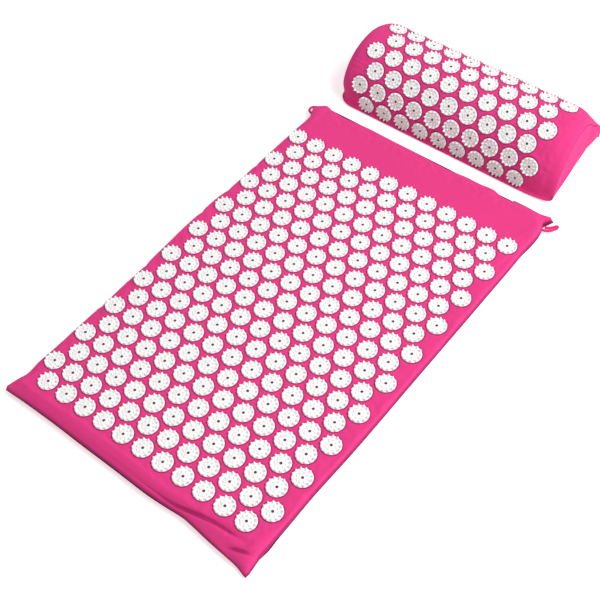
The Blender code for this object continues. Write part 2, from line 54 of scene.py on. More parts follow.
CAMERA_LENS = 72.37
CAMERA_SENSOR = 36

# Sizes that the solids share with the covers
CLOTH = 0.001
LINING = 0.0013
DISC_DIAMETER = 0.026
DISC_PITCH = 0.03175
ROW_PITCH = 0.027
MAT_ROWS = 20
MAT_ROW_DISCS = 11
MAT_FIRST_ROW = -0.2755
PILLOW_ROWS = 7
PILLOW_ROW_DISCS = 9
PILLOW_WAIST = 0.013
PILLOW_DEPTH = 0.147
PILLOW_FIRST_ANGLE = radians(1.8)
PILLOW_BACK_GAP = 0.0002
ZIP_SLIT = 0.0092

# Places and sizes read from the frame
mat_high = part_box("mat_bottom_panel")[1]
HALF_WIDTH = mat_high.x
HALF_LENGTH = mat_high.y
CLOTH_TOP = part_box("mat_foam_core")[1].z + LINING
SEAM = CLOTH_TOP / 2
ZIP_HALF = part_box("mat_zip_tape_upper")[1].x
pillow_low, pillow_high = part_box("pillow_base_panel")
PILLOW_X = (pillow_low.x + pillow_high.x) / 2
PILLOW_HALF = (pillow_high.x - pillow_low.x) / 2
PILLOW_ZIP_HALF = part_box("pillow_zip_tape_upper")[1].x - PILLOW_X
PILLOW_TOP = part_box("pillow_foam_core")[1].z + LINING
PILLOW_Y = pillow_high.y - PILLOW_DEPTH / 2 + PILLOW_BACK_GAP


def link(name, data):
    made = bpy.data.objects.new(name, data)
    bpy.context.scene.collection.objects.link(made)
    return made


def make_mesh(name, points, faces, *materials):
    """A smooth-shaded mesh from an array of points"""
    mesh = bpy.data.meshes.new(name)
    mesh.from_pydata(points.tolist(), [], faces)
    mesh.shade_smooth()
    for material in materials:
        mesh.materials.append(material)
    return mesh


# Lines, grids and noise

LENGTH_LEAST = 1e-12
WELDS_PER_METRE = 20000


def smooth_ramp(value, start, end):
    """0 before start and 1 after end, with an even bend between"""
    share = np.clip((value - start) / (end - start), 0, 1)
    return share * share * (3 - 2 * share)


def curve_shares(t):
    """What a start, its slope, an end and its slope each add to a smooth curve's point at t"""
    return (2 * t**3 - 3 * t**2 + 1, t**3 - 2 * t**2 + t, 3 * t**2 - 2 * t**3, t**3 - t**2)


def smooth_line(points, places):
    """A smooth line through points, read at an array of places"""
    x, y = np.array(points, float).T
    slope = np.gradient(y, x)
    at = np.clip(np.searchsorted(x, places) - 1, 0, len(x) - 2)
    run = x[at + 1] - x[at]
    start, start_slope, end, end_slope = curve_shares(np.clip((places - x[at]) / run, 0, 1))
    return (start * y[at] + start_slope * run * slope[at]
            + end * y[at + 1] + end_slope * run * slope[at + 1])


def refine(grid, counts):
    """Points between a grid's rows on smooth curves: one count of steps for each gap"""
    places = np.concatenate([index + np.arange(count) / count
                             for index, count in enumerate(counts)] + [[len(grid) - 1]])
    at = np.minimum(places.astype(int), len(grid) - 2)
    start, start_slope, end, end_slope = curve_shares((places - at)[:, None, None])
    before, after = grid[np.maximum(at - 1, 0)], grid[np.minimum(at + 2, len(grid) - 1)]
    first, last = grid[at], grid[at + 1]
    return (start * first + start_slope * ((last - before) / 2)
            + end * last + end_slope * ((after - first) / 2))


def refine_both(grid, row_counts, column_counts):
    finer = refine(grid, row_counts).transpose(1, 0, 2)
    return refine(finer, column_counts).transpose(1, 0, 2)


def shrunk(points, faces, depth):
    """A closed shape's points moved inwards along its normals"""
    mesh = make_mesh("shrunk", points, faces)
    normals = np.array([vertex.normal[:] for vertex in mesh.vertices])
    bpy.data.meshes.remove(mesh)
    return points - normals * depth


def grid_faces(rows, columns, offset=0, flip=False):
    """Quads of a grid of points that is stored row by row"""
    faces = []
    for row in range(rows - 1):
        for column in range(columns - 1):
            a = offset + row * columns + column
            quad = (a, a + 1, a + 1 + columns, a + columns)
            faces.append(quad[::-1] if flip else quad)
    return faces


def ring_faces(first, sides, rings):
    """Quads between closed rings of points that are stored one after another"""
    faces = []
    for a in range(first, first + (rings - 1) * sides, sides):
        for side in range(sides):
            after = (side + 1) % sides
            faces.append((a + side, a + after, a + sides + after, a + sides + side))
    return faces


def lengths(vectors):
    return np.linalg.norm(vectors, axis=-1)


def units(vectors):
    """Vectors brought to a length of 1"""
    return vectors / np.maximum(lengths(vectors), LENGTH_LEAST)[..., None]


def grid_normals(grid):
    """Directions square to a grid of points"""
    return units(np.cross(np.gradient(grid, axis=0), np.gradient(grid, axis=1)))


def runs_along(points):
    """The way along a line to each of its points"""
    return np.concatenate([[0], np.cumsum(lengths(np.diff(points, axis=0)))])


def flat(*grids):
    """The points of one or more grids as one list"""
    return np.concatenate([grid.reshape(-1, 3) for grid in grids])


def welded(points):
    """Points without doubles, and for each old point the new one that it became"""
    keys = {}
    index = np.zeros(len(points), dtype=int)
    kept = []
    for number, point in enumerate(points):
        key = tuple(round(value * WELDS_PER_METRE) for value in point)
        if key not in keys:
            keys[key] = len(kept)
            kept.append(point)
        index[number] = keys[key]
    return np.array(kept), index


def mapped(faces, index):
    """Faces on welded points, without doubled corners"""
    fresh = []
    for face in faces:
        corners = list(dict.fromkeys(int(index[corner]) for corner in face))
        if len(corners) > 2:
            fresh.append(tuple(corners))
    return fresh


def ripple(points, size, seed, height):
    """Even noise at points, for cloth that is never quite straight"""
    return np.array([noise.noise(Vector(point) / size + Vector((seed, 0, 0)))
                     for point in points]) * height


def level_ripple(grid, size, seed, height):
    """The same noise at a grid's points, whatever their place up or down"""
    return ripple(flat(grid * (1, 1, 0)), size, seed, height).reshape(grid.shape[:2])


# Materials

WAVE_TURN = 2 * pi / 20
PINK = (0.89, 0.054, 0.268)
FADED = 0.93
# Painted shade by discs, seams and creases: the share of each channel left at full shade, and the
# most of it
PAINTED_SHADE_SHARES = (0.38, 0.25, 0.4)
PAINTED_SHADE_MOST = 0.9
CREASE_SHARE = 1.5


def set_inputs(node, values):
    """Set a node's sockets by their names"""
    for name, value in values.items():
        node.inputs[name].default_value = value


def new_material(name, colour, roughness, metallic=0.0):
    made = bpy.data.materials.new(name)
    made.use_nodes = True
    shader = made.node_tree.nodes["Principled BSDF"]
    set_inputs(shader, {"Base Color": (*colour, 1), "Roughness": roughness, "Metallic": metallic})
    made.diffuse_color = (*colour, 1)
    return made, made.node_tree, shader


def object_coordinates(tree):
    return tree.nodes.new("ShaderNodeTexCoord").outputs["Object"]


def add_noise(tree, source, scale, detail):
    made = tree.nodes.new("ShaderNodeTexNoise")
    set_inputs(made, {"Scale": scale, "Detail": detail})
    tree.links.new(source, made.inputs["Vector"])
    return made.outputs["Fac"]


def add_threads(tree, source, direction, spacing):
    """Round threads side by side along one axis"""
    made = tree.nodes.new("ShaderNodeTexWave")
    made.wave_type = "BANDS"
    made.bands_direction = direction
    made.wave_profile = "SIN"
    set_inputs(made, {"Scale": WAVE_TURN / spacing, "Distortion": 0.6, "Detail": 1.0})
    tree.links.new(source, made.inputs["Vector"])
    return made.outputs["Fac"]


def add_math(tree, operation, first, second):
    made = tree.nodes.new("ShaderNodeMath")
    made.operation = operation
    for socket, value in zip(made.inputs, (first, second)):
        if isinstance(value, (int, float)):
            socket.default_value = value
        else:
            tree.links.new(value, socket)
    return made.outputs[0]


def add_bump(tree, shader, height, distance, strength):
    made = tree.nodes.new("ShaderNodeBump")
    set_inputs(made, {"Distance": distance, "Strength": strength})
    tree.links.new(height, made.inputs["Height"])
    tree.links.new(made.outputs["Normal"], shader.inputs["Normal"])


def add_mix(tree, factor, first, second):
    """A colour between two, each of them a colour or another node's output"""
    made = tree.nodes.new("ShaderNodeMix")
    made.data_type = "RGBA"
    for name, value in (("A", first), ("B", second)):
        if isinstance(value, tuple):
            made.inputs[name].default_value = (*value, 1)
        else:
            tree.links.new(value, made.inputs[name])
    tree.links.new(factor, made.inputs["Factor"])
    return made.outputs["Result"]


def add_painted_shade(tree):
    """How much painted shade the cloth gets by a disc, a seam or a crease, from the closeness in
    the mesh
    """
    kept = tree.nodes.new("ShaderNodeAttribute")
    kept.attribute_name = "closeness"
    made = tree.nodes.new("ShaderNodeMapRange")
    made.interpolation_type = "SMOOTHSTEP"
    set_inputs(made, {"From Min": 0.45, "From Max": 0.95, "To Max": PAINTED_SHADE_MOST})
    tree.links.new(kept.outputs["Fac"], made.inputs["Value"])
    return made.outputs["Result"]


def seen_directly(tree):
    """1 where a surface is seen by the camera, in a mirror or through glass"""
    path = tree.nodes.new("ShaderNodeLightPath").outputs
    seen = add_math(tree, "MAXIMUM", path["Is Camera Ray"], path["Is Glossy Ray"])
    return add_math(tree, "MAXIMUM", seen, path["Is Transmission Ray"])


def cotton_material(name, colour, thread):
    """Woven cotton: threads both ways, a soft sheen, uneven dye, and painted shade by discs, seams
    and creases
    """
    made, tree, shader = new_material(name, colour, roughness=0.85)
    set_inputs(shader, {"Specular IOR Level": 0.1, "Sheen Weight": 0.1,
                        "Sheen Roughness": 0.45, "Sheen Tint": (1.0, 0.62, 0.82, 1)})
    place = object_coordinates(tree)
    weave = add_math(tree, "MULTIPLY", add_threads(tree, place, "X", thread),
                     add_threads(tree, place, "Y", thread))
    creases = add_noise(tree, place, scale=60.0, detail=4.0)
    height = add_math(tree, "ADD", weave, add_math(tree, "MULTIPLY", creases, CREASE_SHARE))
    add_bump(tree, shader, height, distance=0.0002, strength=0.7)
    drift = add_noise(tree, place, scale=9.0, detail=5.0)
    dyed = add_mix(tree, drift, tuple(channel * FADED for channel in colour), colour)
    # The colour of the painted shade by discs, seams and creases
    deep = tuple(channel * share for channel, share in zip(colour, PAINTED_SHADE_SHARES))
    shaded = add_mix(tree, add_painted_shade(tree), dyed, deep)
    tree.links.new(shaded, shader.inputs["Base Color"])
    return made


def grained_material(name, colour, roughness, metallic, scale, detail, distance, strength):
    """One colour with a fine even grain all over, as on moulded plastic, brushed plate or foam"""
    made, tree, shader = new_material(name, colour, roughness, metallic)
    grain = add_noise(tree, object_coordinates(tree), scale, detail)
    add_bump(tree, shader, grain, distance, strength)
    return made, shader


COTTON = cotton_material("pink_cotton", PINK, thread=0.0005)
TAPE = cotton_material("zip_tape", (0.72, 0.035, 0.2), thread=0.0007)
PLASTIC, plastic_shader = grained_material(
    "disc_plastic", (0.98, 0.985, 0.98), roughness=0.32, metallic=0.0,
    scale=900.0, detail=2.0, distance=0.00005, strength=0.4)
set_inputs(plastic_shader, {"Specular IOR Level": 0.45, "Subsurface Weight": 0.6,
                            "Subsurface Radius": (1.0, 1.0, 1.0), "Subsurface Scale": 0.0006})
# The hole in each disc: wall and floor in a dark pink that is painted shade
PAINTED_SHADE_WELL, _, _ = new_material("disc_well_painted_shade", (0.26, 0.03, 0.085), roughness=0.9)
NYLON, _, _ = new_material("nylon_coil", (0.7, 0.045, 0.22), roughness=0.38)
THREAD, _, _ = new_material("thread", (0.8, 0.06, 0.25), roughness=0.7)
NICKEL, _ = grained_material(
    "nickel", (0.72, 0.71, 0.7), roughness=0.28, metallic=1.0,
    scale=1500.0, detail=2.0, distance=0.00004, strength=0.4)
FOAM, _ = grained_material(
    "foam", (0.8, 0.76, 0.62), roughness=0.95, metallic=0.0,
    scale=700.0, detail=4.0, distance=0.0006, strength=0.8)


# Cloth that swells a little under pressure, held where foam and discs hold it

CLOTH_FRAMES = 20
CLOTH_SETTINGS = {"quality": 6, "mass": 0.15, "tension_stiffness": 20,
                  "compression_stiffness": 8, "shear_stiffness": 8, "bending_stiffness": 0.5,
                  "use_pressure": True, "vertex_group_mass": "held"}
# Painted shade along the pillow's end seams, at its fullest
END_SHADE = 0.85


def swell(name, points, faces, held, pressure, slack, cap):
    """Simulate the loose cloth between held points, and give the points back, capped"""
    cloth = link(name, make_mesh(name, points, faces))
    group = cloth.vertex_groups.new(name="held")
    for index, weight in enumerate(held):
        group.add([index], float(weight), "REPLACE")
    settings = cloth.modifiers.new("cloth", "CLOTH").settings
    for setting, value in CLOTH_SETTINGS.items():
        setattr(settings, setting, value)
    settings.uniform_pressure_force = pressure
    settings.shrink_min = -slack
    settings.effector_weights.gravity = 0
    scene = bpy.context.scene
    for step in range(1, CLOTH_FRAMES + 1):
        scene.frame_set(step)
    shaped = cloth.evaluated_get(bpy.context.evaluated_depsgraph_get()).to_mesh()
    moved = np.zeros(len(points) * 3)
    shaped.vertices.foreach_get("co", moved)
    bpy.data.objects.remove(cloth, do_unlink=True)
    scene.frame_set(1)
    shift = moved.reshape(-1, 3) - points
    reach = np.maximum(lengths(shift), LENGTH_LEAST)
    return points + shift * (np.minimum(reach, cap) / reach)[:, None]


def closeness(way, reach=0.004):
    """1 against a disc or a seam, falling to 0 at its reach"""
    return np.clip(1 - way / reach, 0, 1)


def above_floor(points):
    """The same points, none of them under the floor"""
    points[..., 2] = np.clip(points[..., 2], 0.0, None)
    return points


def cloth_piece(name, grid, flip, shade, body, nodes):
    """A closed piece of cloth from a panel's outer face; shade is its painted shade by discs and
    seams
    """
    mesh = make_mesh(name, flat(grid), grid_faces(*grid.shape[:2], 0, flip), COTTON)
    kept = mesh.attributes.new("closeness", "FLOAT", "POINT")
    kept.data.foreach_set("value", shade.ravel().astype(np.float32))
    made = link(name, mesh)
    lining = made.modifiers.new("lining", "SOLIDIFY")
    lining.thickness = CLOTH
    lining.offset = -1
    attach(made, body)
    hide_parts(*nodes)


def foam_piece(name, points, faces, body, node):
    """The foam inside a cover, in the cover's own form"""
    made = link(name, make_mesh(name, points, faces, FOAM))
    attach(made, body)
    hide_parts(node)


# Mat cover: how far each edge lies towards +X or +Y of the straight one, at places along it
# from -1 to 1

NEAR_SHIFT = (
    (-1, 0.0054), (-0.88, 0.0068), (-0.68, 0.0071), (-0.36, 0.0056), (-0.06, 0.0044),
    (0.22, 0.0033), (0.36, 0.0048), (0.45, 0.0063), (0.52, 0.0056), (0.62, 0.0034), (0.72, 0.001),
    (0.8, -0.0008), (0.9, -0.0044), (1, -0.0068))
FAR_SHIFT = (
    (-1, -0.0088), (-0.97, -0.0084), (-0.91, 0.002), (-0.86, -0.001), (-0.79, -0.0042),
    (-0.66, -0.0043), (-0.55, -0.0023), (-0.4, -0.0024), (-0.1, -0.0033), (0.08, -0.0043),
    (0.18, -0.0042), (0.3, -0.0013), (0.42, -0.0012), (0.52, 0.0004), (0.61, -0.004),
    (0.68, -0.0038), (0.75, -0.0012), (0.8, -0.0004), (0.85, 0.0004), (0.9, 0.0006),
    (0.945, 0.002), (1, 0.0066))
RIGHT_SHIFT = (
    (-1, -0.002), (-0.85, -0.004), (-0.75, -0.0044), (-0.64, -0.0049), (-0.4, -0.0032),
    (-0.15, -0.0036), (0.0, -0.004), (0.15, -0.0041), (0.4, -0.0045), (0.55, -0.005),
    (0.68, -0.0053), (0.78, -0.0059), (0.9, -0.0053), (0.955, -0.0106), (1, -0.0028))
LEFT_SHIFT = (
    (-1, -0.003), (-0.95, 0.002), (-0.9, 0.007), (-0.82, 0.0062), (-0.74, 0.0065),
    (-0.66, 0.0065), (-0.5, 0.007), (-0.3, 0.0066), (-0.1, 0.0056), (0.08, 0.0047),
    (0.22, 0.0048), (0.36, 0.0068), (0.5, 0.0073), (0.72, 0.0076), (0.8, 0.0079), (0.87, 0.0088),
    (0.92, 0.0076), (0.96, 0.002), (1, -0.002))
SHIFT_DEPTH = 0.06

# How the cover rolls over the foam's edge: the roll's width and roundness, how far the seam drops
SIDE_ROLL = 0.0088
FAR_ROLL = 0.012
UNDER_ROLL = 0.006
NEAR_ROLL = ((-1, 0.0205), (0.0, 0.0225), (0.35, 0.0225), (0.55, 0.025), (0.75, 0.03),
             (1, 0.031))
ROLL_POWER = 2.3
NEAR_POWER = ((-1, 2.0), (0.4, 2.0), (0.6, 1.75), (0.8, 1.45), (1, 1.4))
NEAR_DROP = ((-1, 0.0025), (0.5, 0.0025), (0.75, 0.0038), (1, 0.005))
NEAR_RAMP = (0.02, SHIFT_DEPTH)
ROLL_LEAST = 1e-4
CORNER_POWER = -2.4
CORNER_TIP = 0.05
CORNER_TIP_DROP = 0.0052
NEAR_TIP_EASE = 0.7
CORNER_EXTRA = 0.009
CORNER_RUN = 0.032
SEAM_TUCK = 0.0009
# Reach of the painted shade along the seams
SEAM_SHADE = 0.0042
ON_EDGE = 1e-6
ZIP_END_RUN = 0.006
BESIDE_ZIP = 0.012

# Grids of the cover, and the foam in it
FINE_STEP = 0.003
COARSE_STEP = 0.006
RIM = 0.054
FINEST = 0.0015
FOAM_SKIRT = 0.0085
FOAM_DEPTH = 0.0045

# Loose cloth: how it swells, and where it is loose
MAT_SWELL = {"pressure": 1.5, "slack": 0.004, "cap": 0.002}
LOOSE_RAMP = (0.01, 0.045)
LOOSE_BY_DISC = 0.006

# Ripples in the covers: size, seed and height
MAT_WAVE = {1: (0.045, 3.0, 0.0005), -1: (0.045, -3.0, 0.0005)}
MAT_WRINKLE = (0.016, 11.0, 0.00018)
PILLOW_WRINKLE = (0.018, 5.0, 0.0003)

# Cloth between the discs stands up a little, and is drawn down at their rims
BETWEEN_DISCS = 0.0011
DENT_WIDTH = 0.0025
STAND_RAMP = (0.003, 0.018)
WRINKLE_RAMP = (0.002, 0.008)

# Creases along the near edge: their line, depth and half width, each by place across the mat
NEAR_CREASES = (
    (((-0.15, -0.3075), (-0.071, -0.3082), (-0.01, -0.308), (0.0486, -0.3078),
      (0.078, -0.3065), (0.095, -0.3037), (0.1115, -0.3005), (0.13, -0.2975), (0.155, -0.2955),
      (0.184, -0.294)),
     ((-0.15, 0.0), (-0.06, 0.0008), (0.0, 0.0016), (0.05, 0.0022), (0.078, 0.0028),
      (0.105, 0.0034), (0.13, 0.0032), (0.155, 0.0022), (0.184, 0.0)),
     ((-0.15, 0.002), (0.05, 0.0024), (0.11, 0.0036), (0.184, 0.0036))),
    (((0.146, -0.314), (0.17, -0.307), (0.194, -0.3005)),
     ((0.146, 0.0), (0.16, 0.0018), (0.18, 0.0026), (0.196, 0.0)),
     ((0.146, 0.0036), (0.194, 0.004))))
SLOPE_STEP = 0.001
CREASE_RUN = 0.004
# Painted shade in the creases: the depth at which it is full, and the most that it gets
CREASE_SHADE_DEPTH = 0.0028
CREASE_SHADE_MOST = 0.82

# Folds in the mat's top: start, end, half width and depth
MAT_FOLDS = (((-0.193, -0.3045), (-0.174, -0.2985), 0.003, 0.0014),
             ((-0.186, -0.308), (-0.15, -0.3065), 0.003, 0.0008),
             ((0.118, 0.311), (0.106, 0.296), 0.004, 0.001),
             ((-0.17, 0.311), (-0.176, 0.299), 0.003, 0.0014),
             ((0.18, 0.31), (0.19, 0.296), 0.0035, 0.001))


def grid_places(half):
    """Places from edge to edge of the cover, close together near both edges"""
    rim = np.linspace(0, RIM, round(RIM / FINE_STEP) + 1)
    inner_steps = ceil((2 * half - 2 * RIM) / COARSE_STEP)
    inner = np.linspace(RIM, 2 * half - RIM, inner_steps + 1)[1:-1]
    return np.concatenate([rim, inner, 2 * half - rim[::-1]]) - half


def roll(share, power):
    """Share of the full height at a share of the way over the roll"""
    share = np.clip(share, 0, 1)
    return (1 - (1 - share) ** power) ** (1 / power)


def crease_depth(x, y):
    """How deep the creases along the near edge are at points of the top"""
    depth = np.zeros_like(x)
    for line, depths, half_widths in NEAR_CREASES:
        rise = smooth_line(line, x + SLOPE_STEP) - smooth_line(line, x - SLOPE_STEP)
        slope = rise / (2 * SLOPE_STEP)
        off = (y - smooth_line(line, x)) / np.sqrt(1 + slope ** 2)
        depth += smooth_line(depths, x) * np.exp(-(off / smooth_line(half_widths, x)) ** 2)
    return depth


def fold_depth(x, y, folds):
    """How deep the folds are at points of a cover"""
    depth = np.zeros_like(x)
    for (x0, y0), (x1, y1), half_width, deep in folds:
        run = hypot(x1 - x0, y1 - y0)
        along = ((x - x0) * (x1 - x0) + (y - y0) * (y1 - y0)) / run
        off = np.abs((x - x0) * (y1 - y0) - (y - y0) * (x1 - x0)) / run
        ends = smooth_ramp(along, -half_width, half_width)
        ends = ends * smooth_ramp(run - along, -half_width, half_width * 2)
        depth += deep * ends * np.exp(-((off / half_width) ** 2))
    return depth


def off_discs(x, y):
    """The way from points of the mat's top to the nearest disc's rim, less than 0 under a disc"""
    nearest = np.full(x.shape, 1.0)
    for odd in (0, 1):
        half = (MAT_ROW_DISCS - 1 + odd) / 2
        column = np.clip(np.round(x / DISC_PITCH + half), 0, 2 * half) - half
        row = np.round((y - MAT_FIRST_ROW - odd * ROW_PITCH) / (2 * ROW_PITCH))
        row = np.clip(row, 0, MAT_ROWS / 2 - 1) * 2 + odd
        way = np.hypot(x - column * DISC_PITCH, y - MAT_FIRST_ROW - row * ROW_PITCH)
        nearest = np.minimum(nearest, way)
    return nearest - DISC_DIAMETER / 2


def insets(x0, y0):
    """How far in from the sides and from the ends places of the straight cover lie"""
    return HALF_WIDTH - np.abs(x0), HALF_LENGTH - np.abs(y0)


def shifted(x0, y0):
    """Places of the straight cover, moved with its edges to where these really lie"""
    inset_x, inset_y = insets(x0, y0)
    share_x, share_y = x0 / HALF_WIDTH, y0 / HALF_LENGTH
    shift_x = np.where(x0 > 0, smooth_line(RIGHT_SHIFT, share_y), smooth_line(LEFT_SHIFT, share_y))
    shift_y = np.where(y0 > 0, smooth_line(FAR_SHIFT, share_x), smooth_line(NEAR_SHIFT, share_x))
    x = x0 + shift_x * (1 - smooth_ramp(inset_x, 0, SHIFT_DEPTH))
    y = y0 + shift_y * (1 - smooth_ramp(inset_y, 0, SHIFT_DEPTH))
    return (x - np.sign(x0) * SEAM_TUCK * (inset_x < ON_EDGE),
            y - np.sign(y0) * SEAM_TUCK * (inset_y < ON_EDGE))


def zip_opening(x0, y0):
    """1 where the cover is open for the zip in its far edge, falling to 0 at the zip's ends"""
    return (y0 > 0) * smooth_ramp(ZIP_HALF - np.abs(x0), 0, ZIP_END_RUN)


def rolled(x0, y0, side):
    """Heights of the cover, which rolls over the foam's edge to the seam"""
    inset_x, inset_y = insets(x0, y0)
    share_x = x0 / HALF_WIDTH
    near = (y0 < 0) * (1 - smooth_ramp(inset_y, *NEAR_RAMP))
    width_x = SIDE_ROLL + CORNER_EXTRA * (side > 0) * (1 - smooth_ramp(inset_y, 0, CORNER_RUN))
    near_width = smooth_line(NEAR_ROLL, share_x) if side > 0 else UNDER_ROLL
    over_x = np.maximum(inset_x / width_x, ROLL_LEAST)
    over_y = np.maximum(inset_y / np.where(y0 > 0, FAR_ROLL, near_width), ROLL_LEAST)
    share = (over_x ** CORNER_POWER + over_y ** CORNER_POWER) ** (1 / CORNER_POWER)
    share = roll(share, ROLL_POWER + (smooth_line(NEAR_POWER, share_x) - ROLL_POWER) * near)

    tip = np.clip(1 - (inset_x + inset_y) / CORNER_TIP, 0, 1)
    seam = SEAM - smooth_line(NEAR_DROP, share_x) * near
    seam = seam - CORNER_TIP_DROP * tip ** 2 * (1 - NEAR_TIP_EASE * near)
    edge = seam + side * ZIP_SLIT / 2 * zip_opening(x0, y0)
    far = CLOTH_TOP if side > 0 else 0.0
    return edge + (far - edge) * share


def mat_points(side):
    """Outer points of the cover's top, side 1, or bottom, side -1, and how firmly each is held"""
    x0, y0 = np.meshgrid(grid_places(HALF_WIDTH), grid_places(HALF_LENGTH))
    inset_x, inset_y = insets(x0, y0)
    nearest = np.minimum(inset_x, inset_y)
    x, y = shifted(x0, y0)
    points = np.stack([x, y, rolled(x0, y0, side)], axis=-1)
    beside_zip = zip_opening(x0, y0) * (inset_y < BESIDE_ZIP)
    loose = (1 - smooth_ramp(nearest, *LOOSE_RAMP)) * (1 - beside_zip)
    if side > 0:
        loose *= smooth_ramp(off_discs(x, y), 0, LOOSE_BY_DISC)
    wave = level_ripple(points, *MAT_WAVE[side])
    points[..., 2] += wave * loose * (nearest >= ON_EDGE) * side
    return points, 1 - loose


def edge_ways(grid):
    """The level way from each point of a grid to the nearest of its four edges"""
    x, y = grid[..., 0], grid[..., 1]
    across = np.minimum(np.abs(x - x[:, :1]), np.abs(x - x[:, -1:]))
    along = np.minimum(np.abs(y - y[:1]), np.abs(y - y[-1:]))
    return np.minimum(across, along)


def finish_mat_top(grid):
    """The top's fine form and painted shade: flat under each disc, standing up between them,
    creased
    """
    x, y, z = grid[..., 0], grid[..., 1], grid[..., 2]
    off = off_discs(x, y)
    out = smooth_ramp(off, 0, DENT_WIDTH)
    inset = edge_ways(grid)
    raised = z + BETWEEN_DISCS * out * smooth_ramp(inset, *STAND_RAMP)
    crease = crease_depth(x, y)
    raised -= (fold_depth(x, y, MAT_FOLDS) + crease) * smooth_ramp(inset, 0, CREASE_RUN)
    raised += level_ripple(grid, *MAT_WRINKLE) * smooth_ramp(inset, *WRINKLE_RAMP)
    under = 1 - out
    grid[..., 2] = raised * (1 - under) + np.minimum(z, CLOTH_TOP) * under
    # Painted shade round each disc, along the seams and in the creases
    shade = np.maximum(closeness(off), closeness(inset, SEAM_SHADE))
    return grid, np.maximum(shade, np.minimum(crease / CREASE_SHADE_DEPTH, CREASE_SHADE_MOST))


def split_counts(places):
    """How many fine steps go into each gap between places"""
    return [max(1, round(gap / FINEST)) for gap in np.diff(places)]


def halved(counts):
    return [max(1, count // 2) for count in counts]


def mat_cover():
    top, held_top = mat_points(1)
    bottom, held_bottom = mat_points(-1)
    points, index = welded(flat(top, bottom))
    rows, columns = top.shape[:2]
    count = rows * columns
    faces = mapped(grid_faces(rows, columns) + grid_faces(rows, columns, count, True), index)
    held = np.zeros(len(points))
    held[index] = np.concatenate([held_top.reshape(-1), held_bottom.reshape(-1)])
    points = above_floor(swell("mat_cloth", points, faces, held, **MAT_SWELL))
    top, bottom = points[index].reshape(2, *top.shape)
    mat_foam(top, bottom)
    row_counts = split_counts(grid_places(HALF_LENGTH))
    column_counts = split_counts(grid_places(HALF_WIDTH))
    fine, shade = finish_mat_top(refine_both(top, row_counts, column_counts))
    cloth_piece("mat_cover_top", fine, False, shade, "mat", ["mat_top_panel"])
    under = above_floor(refine_both(bottom, halved(row_counts), halved(column_counts)))
    # Painted shade along the seams of the bottom
    shade = closeness(edge_ways(under), SEAM_SHADE)
    cloth_piece("mat_cover_bottom", under, True, shade, "mat", ["mat_bottom_panel"])
    zip_stitches("mat_zip_stitches", (fine, under), ZIP_HALF, "mat")


def mat_foam(top, bottom):
    """The mat's foam: both faces of the cover without their rims, joined by a wall"""
    skip = ceil(FOAM_SKIRT / FINE_STEP)
    top = top[skip:-skip, skip:-skip]
    bottom = bottom[skip:-skip, skip:-skip]
    rows, columns = top.shape[:2]
    count = rows * columns
    faces = grid_faces(rows, columns) + grid_faces(rows, columns, count, True)
    index = np.arange(count).reshape(rows, columns)
    rim = [index[0], index[1:, -1], index[-1, -2::-1], index[-2:0:-1, 0]]
    rim = np.concatenate(rim).tolist()
    for corner, after in zip(rim, rim[1:] + rim[:1]):
        faces.append((after, corner, corner + count, after + count))
    foam = shrunk(flat(top, bottom), faces, FOAM_DEPTH)
    foam_piece("mat_foam", foam, faces, "mat", "mat_foam_core")


# Spiked discs

PLATE_TOP = 0.0015
DISC_STEPS = 36
DISC_TURN = radians(37)
SHARP_ANGLE = radians(50)

# Radius and height down the disc: the hole in its middle, the hub round it, the plate with a
# groove, and the rim round to the underside
DISC_OUTLINE = (
    (0.0018, 0.00025), (0.0018, 0.0016), (0.0021, 0.0018), (0.0033, 0.0018), (0.0038, 0.0015),
    (0.0085, 0.0015), (0.009, 0.0013), (0.0095, 0.0015), (0.012, 0.0015), (0.0127, 0.0013),
    (0.013, 0.001), (0.013, 0.0007), (0.0126, 0.0005), (0.0114, 0.0004), (0.0108, 0.0001))

# Rings of spikes: how many, the ring's radius, each spike's foot radius, height and lean, and
# where the first one stands, in steps of the ring
SPIKE_RINGS = ((12, 0.0112, 0.00205, 0.0034, 0.0008, 0.0),
               (8, 0.0067, 0.0016, 0.0014, 0.0, 0.3))

# A spike from its foot up: shares of its height, of its foot's radius and of its lean
SPIKE_LEVELS = ((-0.1, 1.0, 0.0), (0.25, 0.8, 0.25), (0.62, 0.57, 0.65), (0.88, 0.36, 0.95))
SPIKE_SIDES = 8


def disc_shape():
    """Points, faces and material indices of one disc; 1 is for the hole in its middle, whose wall
    and floor have its shade painted in
    """
    points = []
    for radius, height in DISC_OUTLINE:
        for step in range(DISC_STEPS):
            turn = 2 * pi * step / DISC_STEPS
            points.append((radius * cos(turn), radius * sin(turn), height))
    faces = [(a, d, c, b) for a, b, c, d in ring_faces(0, DISC_STEPS, len(DISC_OUTLINE))]
    floor = tuple(range(DISC_STEPS))
    underside = tuple(range(len(points) - DISC_STEPS, len(points)))[::-1]
    faces += [floor, underside]
    slots = [1] * DISC_STEPS + [0] * (len(faces) - DISC_STEPS - 2) + [1, 0]
    for count, ring, foot, height, lean, start in SPIKE_RINGS:
        for spike in range(count):
            turn = 2 * pi * (spike + start) / count
            add_spike(points, faces, turn, ring, foot, height, lean)
    slots += [0] * (len(faces) - len(slots))
    return np.array(points), faces, slots


def add_spike(points, faces, turn, ring, foot, tall, lean):
    """A blunt tapering spike that stands on the plate and leans outwards a little"""
    first = len(points)
    for share, width, out in SPIKE_LEVELS:
        reach = ring + lean * out
        for side in range(SPIKE_SIDES):
            around = 2 * pi * side / SPIKE_SIDES + turn
            points.append((reach * cos(turn) + foot * width * cos(around),
                           reach * sin(turn) + foot * width * sin(around),
                           PLATE_TOP + tall * share))
    tip = len(points)
    points.append(((ring + lean) * cos(turn), (ring + lean) * sin(turn), PLATE_TOP + tall))
    faces += ring_faces(first, SPIKE_SIDES, len(SPIKE_LEVELS))
    top = tip - SPIKE_SIDES
    faces += [(top + side, top + (side + 1) % SPIKE_SIDES, tip) for side in range(SPIKE_SIDES)]
    faces.append(tuple(range(first, first + SPIKE_SIDES))[::-1])


